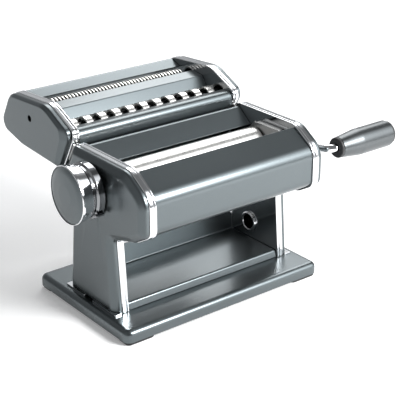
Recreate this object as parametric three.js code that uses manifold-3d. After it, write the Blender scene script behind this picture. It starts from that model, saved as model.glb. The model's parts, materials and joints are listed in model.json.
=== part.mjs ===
// Hand-cranked pasta roller machine with a lift-off cutter head, as an assembly of separate pieces.
// Millimetres. +X runs along the rollers towards the crank, -Y is the front, +Z is up.
// The drawing origin is on the table under the middle of the body; the exported group is shifted so
// that the origin is the bottom centre of the whole object's box.
import * as THREE from 'three';
import { mergeVertices } from 'three/addons/utils/BufferGeometryUtils.js';
import Module from 'manifold-3d';

const wasm = await Module();
wasm.setup();

// ---- driving dimensions -------------------------------------------------------------------
const GAP = 0.3;                  // clearance between neighbouring pieces
const SHEET = 1.2;                // steel sheet
const PLATE_X = 82;               // inner face of the side plates, from the middle
const RIM_X = 88.7;               // outer edge of the side plates' rims
const COVER_X = 95.5;             // outer face of the painted end covers
const TRAY = { halfX: 104.9, front: -50, rear: 88.8, bottom: 3, top: 13.5, corner: 6.5 };
const SHELF_Z = 20.3;             // top of the bridge shelf between the pillars
const ROLLER_R = 14;
const ROLLER_HALF = 74.5;
const JOURNAL_R = 6;
const NIP_TILT = 25 * Math.PI / 180;
const GAP_OPEN = 4.8;             // widest and closest sheet thickness
const GAP_CLOSED = 0.6;
const KNOB_STEPS = 9;
const KNOB_REST_STEP = 5;
const STEP_TURN = 36 * Math.PI / 180;
const STEP_TRAVEL = (GAP_OPEN - GAP_CLOSED) / KNOB_STEPS;
const REST_GAP = GAP_OPEN - KNOB_REST_STEP * STEP_TRAVEL;
const NIP_DIR = [Math.cos(NIP_TILT), -Math.sin(NIP_TILT)];
const FRONT_AXIS = [4, 121];      // (y, z) of the adjustable roller
const REAR_AXIS = FRONT_AXIS.map((v, i) => v + NIP_DIR[i] * (2 * ROLLER_R + REST_GAP));
const KNOB_AXIS = [6.2, 120];
const CAM_R = 15.5;
const CAM_PIN_R = 1.5;
const CAM_PIN_REACH = 9;          // pin's distance from the knob axis at rest
const MAIN_TEETH = 14;
const CRANK_SOCKET_R = 3.9;
const CRANK_ROD_R = 3.5;
const GRIP_AXIS = [-56.7, 123.3]; // (y, z) of the grip at rest
const GRIP_X = 115;               // inner face of the grip's collar
const GRIP_R = 11.9;
const GRIP_LENGTH = 64;
const RING_R = 9.9;               // cutter roller over the rings
const CUTTER_SPREAD = 18.5;       // distance between the two rollers of a cutter pair
const CUTTER_DIR = [0.789, -0.614];
const WIDE_AXIS = [72, 146];
const FINE_AXIS = [118, 151.5];
const WIDE_PITCH = 14.64;
const WIDE_RING = 7.0;
const WIDE_COUNT = 11;
const CLAMP_HOLE = { y: 19.7, z: 36, r: 10 };

// Side view of the body, as corners [y, z, fillet radius], anticlockwise from the pillar's front foot.
const BODY_OUTLINE = [
  [-20.6, 13.8, 0.5], [54, 13.8, 0.5], [46, 80, 30], [52, 125, 7], [38.5, 147.5, 5],
  [-38.5, 147.5, 12], [-64.2, 131, 8], [-63.8, 98, 7], [-46, 88, 14], [-15.9, 80, 5],
];
// Side view of the cutter head. Its front edge runs parallel to the body's rear slant.
const CUTTER_OUTLINE = [
  [62.1, 119, 5], [122, 122.3, 40], [150.5, 129.5, 7], [156, 140, 9], [139.5, 168, 8],
  [79, 171.8, 12], [44.3, 155.8, 7], [44.4, 148.5, 2],
];
const SLANT = new THREE.Vector2(38.5 - 52, 147.5 - 125).normalize();
const SLANT_OUT = new THREE.Vector2(SLANT.y, -SLANT.x);

// ---- finishes -----------------------------------------------------------------------------
function finish(color, roughness, metalness) {
  return new THREE.MeshStandardMaterial({ color, roughness, metalness });
}

const paint = finish(0x5d6466, 0.38, 0.45);
const chrome = finish(0xd9dbdc, 0.08, 1.0);
const satin = finish(0xcfcdc8, 0.35, 1.0);
const anodised = finish(0x6d7171, 0.32, 0.9);
const rubber = finish(0x171717, 0.85, 0.0);
const plastic = finish(0x1c1c1d, 0.5, 0.0);
const brass = finish(0xb08d45, 0.4, 1.0);

// ---- solids -------------------------------------------------------------------------------
// A closed three.js geometry as a manifold solid, with its faces turned outwards.
function solid(geometry) {
  const bare = geometry.index ? geometry : geometry.clone();
  bare.deleteAttribute('normal');
  bare.deleteAttribute('uv');
  const merged = mergeVertices(bare, 1e-4);
  const at = merged.attributes.position.array;
  const corners = [];
  let volume = 0;
  for (let i = 0; i < merged.index.count; i += 3) {
    const [a, b, c] = [0, 1, 2].map((k) => merged.index.getX(i + k));
    if (a === b || b === c || a === c) continue;
    corners.push(a, b, c);
    const [p, q, r] = [a, b, c].map((v) => new THREE.Vector3().fromArray(at, 3 * v));
    volume += p.dot(q.cross(r));
  }
  if (volume < 0) corners.reverse();
  const mesh = new wasm.Mesh({
    numProp: 3,
    vertProperties: Float32Array.from(at),
    triVerts: Uint32Array.from(corners),
  });
  return new wasm.Manifold(mesh);
}

function node(name, shape, material) {
  const { vertProperties, triVerts } = shape.getMesh();
  const geometry = new THREE.BufferGeometry();
  geometry.setAttribute('position', new THREE.BufferAttribute(vertProperties, 3));
  geometry.setIndex(new THREE.BufferAttribute(triVerts, 1));
  geometry.computeVertexNormals();
  const mesh = new THREE.Mesh(geometry, material);
  mesh.name = name;
  return mesh;
}

// Corners [y, z, radius] to points, each fillet an arc that touches both of its edges.
function rounded(corners, closed = true, turn = 0.42) {
  const points = [];
  corners.forEach(([y, z, radius = 0], i) => {
    const here = new THREE.Vector2(y, z);
    const last = corners.length - 1;
    if (!radius || (!closed && (i === 0 || i === last))) {
      points.push(here);
      return;
    }
    const [py, pz] = corners[(i + last) % corners.length];
    const [ny, nz] = corners[(i + 1) % corners.length];
    const back = new THREE.Vector2(py, pz).sub(here);
    const ahead = new THREE.Vector2(ny, nz).sub(here);
    const cosine = back.dot(ahead) / back.length() / ahead.length();
    const half = Math.acos(THREE.MathUtils.clamp(cosine, -1, 1)) / 2;
    const reach = Math.min(radius / Math.tan(half), 0.48 * back.length(), 0.48 * ahead.length());
    const r = reach * Math.tan(half);
    const centre = back.clone().normalize().add(ahead.clone().normalize()).normalize();
    centre.multiplyScalar(r / Math.sin(half)).add(here);
    const start = back.normalize().multiplyScalar(reach).add(here).sub(centre);
    const end = ahead.normalize().multiplyScalar(reach).add(here).sub(centre);
    let sweep = end.angle() - start.angle();
    if (sweep > Math.PI) sweep -= 2 * Math.PI;
    if (sweep < -Math.PI) sweep += 2 * Math.PI;
    const steps = Math.max(1, Math.round(Math.abs(sweep) / turn));
    for (let k = 0; k <= steps; k += 1) {
      const a = start.angle() + sweep * k / steps;
      points.push(new THREE.Vector2(centre.x + r * Math.cos(a), centre.y + r * Math.sin(a)));
    }
  });
  return points;
}

// The same outline with every edge moved inwards by `distance`.
function inset(corners, distance) {
  const count = corners.length;
  const edges = corners.map(([y, z], i) => {
    const [ny, nz] = corners[(i + 1) % count];
    const along = new THREE.Vector2(ny - y, nz - z).normalize();
    return { along, at: new THREE.Vector2(y - along.y * distance, z + along.x * distance) };
  });
  return corners.map(([, , radius], i) => {
    const before = edges[(i + count - 1) % count];
    const after = edges[i];
    const turn = before.along.cross(after.along);
    const t = after.at.clone().sub(before.at).cross(after.along) / turn;
    const p = before.at.clone().addScaledVector(before.along, t);
    return [p.x, p.y, Math.max(0.3, radius - Math.sign(turn) * distance)];
  });
}

// A sheet of thickness `t` along an open line of corners, as a closed outline.
function sheetOutline(corners, t = SHEET) {
  const line = rounded(corners, false);
  const sides = [1, -1].map((side) => line.map((p, i) => {
    const prev = line[Math.max(i - 1, 0)];
    const next = line[Math.min(i + 1, line.length - 1)];
    const a = p.clone().sub(prev).normalize();
    const b = next.clone().sub(p).normalize();
    const mid = a.length() && b.length() ? a.add(b).normalize() : (a.length() ? a : b);
    return new THREE.Vector2(p.x - side * mid.y * t / 2, p.y + side * mid.x * t / 2);
  }));
  return [...sides[0], ...sides[1].reverse()];
}

const SIDE_VIEW = new THREE.Matrix4().makeBasis(
  new THREE.Vector3(0, 1, 0), new THREE.Vector3(0, 0, 1), new THREE.Vector3(1, 0, 0));
const ALONG_X = new THREE.Matrix4().makeBasis(
  new THREE.Vector3(0, 1, 0), new THREE.Vector3(1, 0, 0), new THREE.Vector3(0, 0, -1));

// A (y, z) outline carried along X from x0 to x1.
function prism(points, x0, x1) {
  const settings = { depth: x1 - x0, bevelEnabled: false };
  const geometry = new THREE.ExtrudeGeometry(new THREE.Shape(points), settings);
  return solid(geometry.applyMatrix4(SIDE_VIEW).translate(x0, 0, 0));
}

// A turned piece about the X direction through (y, z); its profile is a list of [radius, x].
function turned(profile, [y, z], sides = 20) {
  const points = profile.map(([r, x]) => new THREE.Vector2(r, x));
  return solid(new THREE.LatheGeometry(points, sides).applyMatrix4(ALONG_X).translate(0, y, z));
}

const rod = (r, x0, x1, axis, sides = 16) => turned([[0, x0], [r, x0], [r, x1], [0, x1]], axis, sides);

function box(x0, x1, y0, y1, z0, z1) {
  const geometry = new THREE.BoxGeometry(x1 - x0, y1 - y0, z1 - z0);
  return solid(geometry.translate((x0 + x1) / 2, (y0 + y1) / 2, (z0 + z1) / 2));
}

// A piece of the +X end, turned over for the -X end as well.
function mirrored(shape, side) {
  if (side > 0) return shape;
  const { vertProperties, triVerts } = shape.getMesh();
  const geometry = new THREE.BufferGeometry();
  geometry.setAttribute('position', new THREE.BufferAttribute(vertProperties.slice(), 3));
  geometry.setIndex(new THREE.BufferAttribute(triVerts.slice(), 1));
  return solid(geometry.scale(-1, 1, 1));
}

const SIDES = [['left', -1], ['right', 1]];
const part = new THREE.Group();
const offset = (axis, direction, distance) => axis.map((v, i) => v + direction[i] * distance);
const add = (name, shape, material) => part.add(node(name, shape, material));

// ---- base ---------------------------------------------------------------------------------
function roundedBlock(halfX, y0, y1, z0, z1, corner, edge) {
  const shape = new THREE.Shape(rounded(
    [[-halfX, y0, corner], [halfX, y0, corner], [halfX, y1, corner], [-halfX, y1, corner]]));
  const geometry = new THREE.ExtrudeGeometry(shape, {
    depth: z1 - z0, bevelThickness: edge, bevelSize: edge, bevelOffset: -edge, bevelSegments: 3,
  });
  return solid(geometry.translate(0, 0, z0)).subtract(
    box(-halfX - 1, halfX + 1, y0 - 1, y1 + 1, z0 - 2 * edge, z0));
}

const SCREW_AT = [[-85.6, -8], [-85.6, 42], [85.6, -8], [85.6, 42]];
const FOOT_AT = [[-89.4, -40.8], [89.4, -40.8], [-89.4, 79.6], [89.4, 79.6]];
const FOOT = { halfX: 14, halfY: 8, corner: 4 };
const FOOT_NAMES = ['front_left', 'front_right', 'rear_left', 'rear_right'];

// Upright turned piece at (x, y); its profile is a list of [radius, z].
function upright(profile, [x, y], sides = 16) {
  const points = profile.map(([r, z]) => new THREE.Vector2(r, z));
  return solid(new THREE.LatheGeometry(points, sides).rotateX(Math.PI / 2).translate(x, y, 0));
}

// An upright block of rounded plan, `halfX` by `halfY` about `at`.
function pad([x, y], halfX, halfY, corner, z0, z1) {
  const plan = [[-halfX, -halfY], [halfX, -halfY], [halfX, halfY], [-halfX, halfY]];
  const shape = new THREE.Shape(rounded(plan.map(([a, b]) => [x + a, y + b, corner])));
  const geometry = new THREE.ExtrudeGeometry(shape, { depth: z1 - z0, bevelEnabled: false });
  return solid(geometry.translate(0, 0, z0));
}

function buildBase() {
  const { halfX, front, rear, bottom, top, corner } = TRAY;
  const edge = 3.5;
  let tray = roundedBlock(halfX, front, rear, bottom, top - edge, corner, edge);
  tray = tray.subtract(roundedBlock(
    halfX - SHEET, front + SHEET, rear - SHEET, bottom - 1, top - SHEET - edge, corner - SHEET, edge));
  for (const at of SCREW_AT) {
    tray = tray.subtract(upright([[0, 10], [2.3, 10], [2.3, 15], [0, 15]], at, 12));
  }
  add('base_tray', tray, paint);
  FOOT_AT.forEach((at, i) => {
    const seat = top - SHEET - GAP;
    const sole = pad(at, FOOT.halfX, FOOT.halfY, FOOT.corner, 0, bottom - GAP);
    const foot = sole.add(pad(at, FOOT.halfX - 4, FOOT.halfY - 4, 1, 1, seat));
    add(`foot_${FOOT_NAMES[i]}`, foot, rubber);
  });
  SCREW_AT.forEach((at, i) => {
    const under = top - SHEET - GAP;
    const screw = upright([[0, under - 2.4], [3.2, under - 2.4], [3.8, under - 1.6], [3.8, under],
      [2, under], [2, 19], [0, 19]], at, 12);
    add(`base_screw_${i + 1}`, screw, satin);
  });
}

function buildShelf() {
  const half = PLATE_X - 0.6;
  const line = [[-18.6, TRAY.top + GAP], [-17, SHELF_Z - 0.6, 1.5], [45.4, SHELF_Z - 0.6, 2], [46.4, 39.5]];
  let shelf = prism(sheetOutline(line), -half, half);
  const wallTop = 39.5;
  const round = 6;
  for (const side of [-1, 1]) {
    const centre = side * (half - round);
    const reach = round + 1;
    const corner = box(Math.min(centre, centre + side * reach), Math.max(centre, centre + side * reach),
      40, 50, wallTop - round, wallTop + 2);
    const keep = new THREE.CylinderGeometry(round, round, 12, 32).translate(centre, 45, wallTop - round);
    shelf = shelf.subtract(corner.subtract(solid(keep)));
  }
  add('bridge_shelf', shelf, paint);
}

// ---- body ---------------------------------------------------------------------------------
// A pressed plate with a rim turned outwards all round, as its outline and its depth.
function dish(outline, x0, x1) {
  const outer = prism(rounded(outline), x0, x1);
  return outer.subtract(prism(rounded(inset(outline, SHEET)), x0 + SHEET, x1 + 1));
}

// Outlines of equal point count joined layer by layer along X, closed by a flat face at each end.
function loft(layers) {
  const count = layers[0].points.length;
  const positions = layers.flatMap(({ x, points }) => points.flatMap((p) => [x, p.x, p.y]));
  const index = [];
  for (let k = 0; k + 1 < layers.length; k += 1) {
    for (let i = 0; i < count; i += 1) {
      const [a, b] = [k * count + i, k * count + (i + 1) % count];
      index.push(a, b, b + count, a, b + count, a + count);
    }
  }
  const top = (layers.length - 1) * count;
  for (const [a, b, c] of THREE.ShapeUtils.triangulateShape(layers[0].points, [])) index.push(a, c, b);
  for (const [a, b, c] of THREE.ShapeUtils.triangulateShape(layers.at(-1).points, [])) {
    index.push(top + a, top + b, top + c);
  }
  const geometry = new THREE.BufferGeometry();
  geometry.setAttribute('position', new THREE.Float32BufferAttribute(positions, 3));
  geometry.setIndex(index);
  return solid(geometry);
}

// A painted cap over the end: closed outside with a rounded edge, open towards the side plate.
function endCap(outline, x0, x1, round) {
  const layers = [{ x: x0, points: rounded(outline) }];
  for (const a of [0, 0.35, 0.7, 1].map((t) => t * Math.PI / 2)) {
    layers.push({
      x: x1 - round * (1 - Math.sin(a)),
      points: rounded(inset(outline, round * (1 - Math.cos(a)))),
    });
  }
  return loft(layers).subtract(prism(rounded(inset(outline, SHEET)), x0 - 1, x1 - SHEET));
}

const SLOT_HALF = JOURNAL_R + 0.4 + GAP;
function journalSlot(x0, x1) {
  const across = [-NIP_DIR[1], NIP_DIR[0]];
  const open = -KNOB_REST_STEP * STEP_TRAVEL - SLOT_HALF;
  const shut = (KNOB_STEPS - KNOB_REST_STEP) * STEP_TRAVEL + SLOT_HALF;
  const corner = (along, side) => [...offset(offset(FRONT_AXIS, NIP_DIR, along), across, side), 0];
  return prism(rounded([corner(open, -SLOT_HALF), corner(shut, -SLOT_HALF), corner(shut, SLOT_HALF),
    corner(open, SLOT_HALF)]), x0, x1);
}

const TIE_RODS = { front: [-50, 112], lower: [30, 84] };

function buildBody() {
  for (const [name, side] of SIDES) {
    let plate = dish(BODY_OUTLINE, PLATE_X, RIM_X);
    plate = plate.subtract(journalSlot(PLATE_X - 1, PLATE_X + 3));
    plate = plate.subtract(rod(8.3, PLATE_X - 1, PLATE_X + 3, REAR_AXIS, 24));
    for (const axis of Object.values(TIE_RODS)) {
      plate = plate.subtract(rod(2.8, PLATE_X - 1, PLATE_X + 3, axis, 12));
    }
    if (side > 0) {
      plate = plate.subtract(rod(CLAMP_HOLE.r, PLATE_X - 1, PLATE_X + 3, [CLAMP_HOLE.y, CLAMP_HOLE.z]));
    }
    for (const [x, y] of SCREW_AT.filter((at) => at[0] > 0)) {
      plate = plate.subtract(upright([[0, 12], [2.3, 12], [2.3, 16], [0, 16]], [x, y], 12));
    }
    add(`side_plate_${name}`, mirrored(plate, side), chrome);

    let cap = endCap(BODY_OUTLINE, RIM_X + GAP, COVER_X, 2.6);
    if (side < 0) {
      cap = cap.add(turned([[0, 90], [34, COVER_X - 0.4], [25, 98.6], [0, 98.6]], KNOB_AXIS, 32)
        .intersect(prism(rounded(inset(BODY_OUTLINE, 2)), COVER_X - 2, 99)));
      cap = cap.subtract(rod(CAM_R + 1, 88, COVER_X - 1.2, KNOB_AXIS));
      cap = cap.subtract(rod(5.6, 88, 100, KNOB_AXIS));
    } else {
      cap = cap.subtract(rod(7, 88, 100, REAR_AXIS));
    }
    add(`end_cover_${name}`, mirrored(cap, side), paint);

    const collar = turned([[6.3, 81.6], [9.4, 81.6], [9.4, 81.9], [8, 81.9], [8, 83.6], [8.9, 83.6],
      [8.9, 84.4], [6.3, 84.4], [6.3, 81.6]], REAR_AXIS, 16);
    add(`rear_bush_${name}`, mirrored(collar, side), brass);
  }
  const socket = turned([[7, 81.2], [9.7, 81.2], [9.7, 83.5], [10.9, 83.5], [10.9, 84.3], [9, 84.3],
    [9, 86.5], [7, 86.5], [7, 81.2]], [CLAMP_HOLE.y, CLAMP_HOLE.z], 20);
  add('clamp_socket', socket, chrome);

  const half = PLATE_X - GAP;
  const front = [[-37.5, 144.3], [-62.1, 129.3, 6], [-61.7, 99.6, 5], [-45.6, 90.1, 12], [-38, 87.9]];
  add('front_cover', prism(sheetOutline(front), -half, half), paint);
  const rear = [[19.8, 131.7], [37.4, 145.3, 3], [50.2, 124.8, 5], [47.2, 100]];
  add('rear_cover', prism(sheetOutline(rear), -half, half), paint);
  for (const [name, axis] of Object.entries(TIE_RODS)) {
    const bar = turned([[0, -84.2], [4, -84.2], [4, -83.5], [2.5, -83.5], [2.5, -81.7], [4, -81.7],
      [4, 81.7], [2.5, 81.7], [2.5, 83.5], [4, 83.5], [4, 84.2], [0, 84.2]], axis, 12);
    add(`tie_rod_${name}`, bar, satin);
  }
  const scrapers = {
    front: [[-5.2, 108.4], [-13, 96, 2], [-13, 90]],
    rear: [[39, 95], [43.5, 86.5, 2], [43.5, 81]],
  };
  for (const [name, line] of Object.entries(scrapers)) {
    add(`scraper_${name}`, prism(sheetOutline(line), -half, half), satin);
  }
}

// ---- sheet rollers ------------------------------------------------------------------------
// Outline of a spur gear with straight tapering teeth; `phase` turns it in tooth pitches.
function gearOutline([y, z], teeth, root, tip, widths, facing, phase) {
  const points = [];
  for (let i = 0; i < teeth; i += 1) {
    const middle = facing + (i + phase) * 2 * Math.PI / teeth;
    for (const [r, w] of [[root, -widths[0]], [tip, -widths[1]], [tip, widths[1]], [root, widths[0]]]) {
      const a = middle + w / r;
      points.push(new THREE.Vector2(y + r * Math.cos(a), z + r * Math.sin(a)));
    }
  }
  return points;
}

function buildRollers() {
  const facing = -NIP_TILT;
  const end = ROLLER_HALF;
  const barrel = [[JOURNAL_R, -end], [ROLLER_R, -end], [ROLLER_R, end], [JOURNAL_R, end]];
  const socket = [[JOURNAL_R, 95], [CRANK_SOCKET_R, 95], [CRANK_SOCKET_R, 79.5], [0, 79.5]];
  add('front_roller', turned([[0, -88.4], [5.4, -88.4], [JOURNAL_R, -87.8], ...barrel, [JOURNAL_R, 93],
    [0, 93]], FRONT_AXIS, 28), satin);
  add('rear_roller', turned([[0, -86], [JOURNAL_R, -86], ...barrel, ...socket], REAR_AXIS, 28), satin);
  const gears = { front: [FRONT_AXIS, facing, 0.5], rear: [REAR_AXIS, facing + Math.PI, 0] };
  for (const [name, [axis, towards, phase]] of Object.entries(gears)) {
    const wheel = prism(gearOutline(axis, MAIN_TEETH, 11.4, 16.6, [1.75, 0.75], towards, phase), 88.2, 92.6);
    add(`${name}_gear`, wheel.subtract(rod(JOURNAL_R + 0.05, 80, 96, axis, 32)), satin);
  }

  for (const [name, side] of SIDES) {
    // A bearing block outside the side plate, its boss reaching in through the slot to carry the guide.
    const across = [-NIP_DIR[1], NIP_DIR[0]];
    const square = [[-10, -10], [10, -10], [10, 10], [-10, 10]].map(([a, b]) => [
      ...offset(offset(FRONT_AXIS, NIP_DIR, a), across, b), 0]);
    let block = prism(rounded(square), 83.5, 87.6);
    block = block.add(rod(JOURNAL_R + 0.35 + 0.05, 76.6, 84, FRONT_AXIS, 24));
    if (side < 0) {
      const pin = offset(KNOB_AXIS, NIP_DIR, CAM_PIN_REACH);
      block = block.add(rod(CAM_PIN_R, 87, 92.2, pin, 12));
    }
    block = block.subtract(rod(JOURNAL_R + 0.05, 70, 90, FRONT_AXIS, 32));
    add(`bearing_block_${name}`, mirrored(block, side), brass);

    const guide = [[-27, 126, 3], [-10, 110, 6], [12, 110, 6], [14, 132, 2], [7, 139.3, 1.5],
      [-27, 139.3, 1.5]];
    let fin = prism(rounded(guide), 74.9, 76.3);
    fin = fin.subtract(rod(JOURNAL_R + 0.6, 70, 80, FRONT_AXIS));
    fin = fin.add(box(76, PLATE_X - 0.4, -24, 3, 138.1, 139.3));
    add(`dough_guide_${name}`, mirrored(fin, side), satin);
  }
}

// ---- thickness knob -----------------------------------------------------------------------
function buildKnob() {
  const at = KNOB_AXIS;
  const dome = [[0, 122.6], [12, 122.2], [20, 121.2], [23.4, 120.2], [23.4, 119.4], [0, 119.4]];
  const cap = turned(dome, at, 28);
  add('knob_cap', mirrored(cap, -1), paint);
  const skirt = turned([[5.6, 108.4], [22.5, 108.4], [23.6, 109.2], [24.9, 118.6], [24.9, 120],
    [24.1, 120.8], [23.8, 120.8], [23.8, 119.1], [12, 119.1], [12, 110], [5.6, 110], [5.6, 108.4]], at, 28);
  add('knob_skirt', mirrored(skirt, -1), chrome);
  const collar = turned([[17, 98.9], [23.8, 98.9], [23.8, 104.6], [22.2, 105.8], [22.2, 108.0], [17, 108.0],
    [17, 98.9]], at, 28);
  const peg = rod(1.6, 99.5, 108, [KNOB_AXIS[0] - 20.6, KNOB_AXIS[1] - 14.4], 10);
  add('index_collar', mirrored(collar.add(peg), -1), chrome);
  const stem = turned([[0, 92.7], [5, 92.7], [5, 117], [7.5, 117], [7.5, 118.6], [0, 118.6]], at);
  add('knob_stem', mirrored(stem, -1), satin);

  const spiral = [1, -1].map((edge) => {
    const points = [];
    const steps = 30;
    const from = -KNOB_REST_STEP * STEP_TURN - 0.32;
    const to = (KNOB_STEPS - KNOB_REST_STEP) * STEP_TURN + 0.2;
    for (let i = 0; i <= steps; i += 1) {
      const turn = from + (to - from) * i / steps;
      const r = CAM_PIN_REACH + turn * STEP_TRAVEL / STEP_TURN + edge * (CAM_PIN_R + 0.35);
      const a = -NIP_TILT - turn;
      points.push(new THREE.Vector2(at[0] + r * Math.cos(a), at[1] + r * Math.sin(a)));
    }
    return points;
  });
  const slot = prism([...spiral[0], ...spiral[1].reverse()], 80, 100);
  const cam = rod(CAM_R, 89.4, 92.4, at, 36).subtract(slot);
  add('gap_cam', mirrored(cam, -1), satin);

  class Helix extends THREE.Curve {
    getPoint(t) {
      const a = 2 * Math.PI * 2 * t;
      return new THREE.Vector3(-116.5 + 1.9 * t, at[0] + 8.5 * Math.cos(a), at[1] + 8.5 * Math.sin(a));
    }
  }
  const wire = new THREE.Shape(new THREE.EllipseCurve(0, 0, 0.4, 0.4).getPoints(5).slice(0, 5));
  const coil = new THREE.ExtrudeGeometry(wire, { steps: 42, extrudePath: new Helix(), bevelEnabled: false });
  add('knob_spring', solid(coil), satin);
}

// ---- crank --------------------------------------------------------------------------------
function buildCrank() {
  const [ry, rz] = REAR_AXIS;
  const [gy, gz] = GRIP_AXIS;
  const bend = 0.1;
  const lerp = (t) => [99.8 + (GRIP_X - 5 - 99.8) * t, ry + (gy - ry) * t, rz + (gz - rz) * t];
  const corners = [[80, ry, rz], lerp(0), lerp(1), [GRIP_X + GRIP_LENGTH - 4, gy, gz]]
    .map((p) => new THREE.Vector3(...p));
  const path = new THREE.CurvePath();
  const before = [corners[0].clone().lerp(corners[1], 0.72), corners[1], new THREE.Vector3(...lerp(bend))];
  const entry = corners[2].clone().lerp(corners[3], 0.065);
  const after = [new THREE.Vector3(...lerp(1 - bend)), corners[2], entry];
  path.add(new THREE.LineCurve3(corners[0], before[0]));
  path.add(new THREE.QuadraticBezierCurve3(...before));
  path.add(new THREE.LineCurve3(before[2], after[0]));
  path.add(new THREE.QuadraticBezierCurve3(...after));
  path.add(new THREE.LineCurve3(after[2], corners[3]));
  const rim = new THREE.EllipseCurve(0, 0, CRANK_ROD_R, CRANK_ROD_R).getPoints(10).slice(0, 10);
  const settings = { steps: 44, extrudePath: path, bevelEnabled: false };
  const arm = new THREE.ExtrudeGeometry(new THREE.Shape(rim), settings);
  add('crank_rod', solid(arm), chrome);

  const bore = CRANK_ROD_R + 0.4;
  const x = (along) => GRIP_X + along;
  const collar = [[bore, x(0)], [8.4, x(0)], [9, x(0.6)], [9, x(2.2)], [bore, x(2.2)], [bore, x(0)]];
  add('grip_collar', turned(collar, GRIP_AXIS, 20), plastic);
  const end = x(GRIP_LENGTH - 3);
  const sleeve = [[bore, x(2.5)], [9.2, x(2.5)], [GRIP_R - 0.2, x(25.4)], [GRIP_R, x(26)],
    [GRIP_R, end - 2.5], [GRIP_R - 2, end], [bore, end], [bore, x(2.5)]];
  add('grip_sleeve', turned(sleeve, GRIP_AXIS, 24), anodised);
  const cap = [[0, end + GAP], [9.6, end + GAP], [9.2, end + 2], [7, end + 3], [0, end + 3]];
  add('grip_end_cap', turned(cap, GRIP_AXIS, 20), plastic);
}

// ---- cutter head --------------------------------------------------------------------------
const PAIRS = { wide: WIDE_AXIS, fine: FINE_AXIS };
const partner = (axis) => offset(axis, CUTTER_DIR, CUTTER_SPREAD);

// A slide bar along the rear slant: its section [x, out] is carried along the slant.
function alongSlant(section, from, to) {
  const shape = new THREE.Shape(section.map(([x, out]) => new THREE.Vector2(x, out)));
  const geometry = new THREE.ExtrudeGeometry(shape, { depth: to - from, bevelEnabled: false });
  const outwards = new THREE.Vector3(0, SLANT_OUT.x, SLANT_OUT.y);
  const upwards = new THREE.Vector3(0, SLANT.x, SLANT.y);
  const basis = new THREE.Matrix4().makeBasis(new THREE.Vector3(1, 0, 0), outwards, upwards);
  const start = new THREE.Vector2(52, 125).addScaledVector(SLANT, from);
  return solid(geometry.applyMatrix4(basis).translate(0, start.x, start.y));
}

function ringedRoller(axis, first, count, drive) {
  const core = RING_R - 2.4;
  const left = -78;
  const profile = [[0, -92], [4, -92], [4, left], [core, left]];
  for (let i = 0; i < count; i += 1) {
    const from = first + i * WIDE_PITCH;
    profile.push([core, from], [RING_R, from], [RING_R, from + WIDE_RING], [core, from + WIDE_RING]);
  }
  profile.push([core, -left], ...drive);
  return turned(profile, axis, 14);
}

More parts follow.
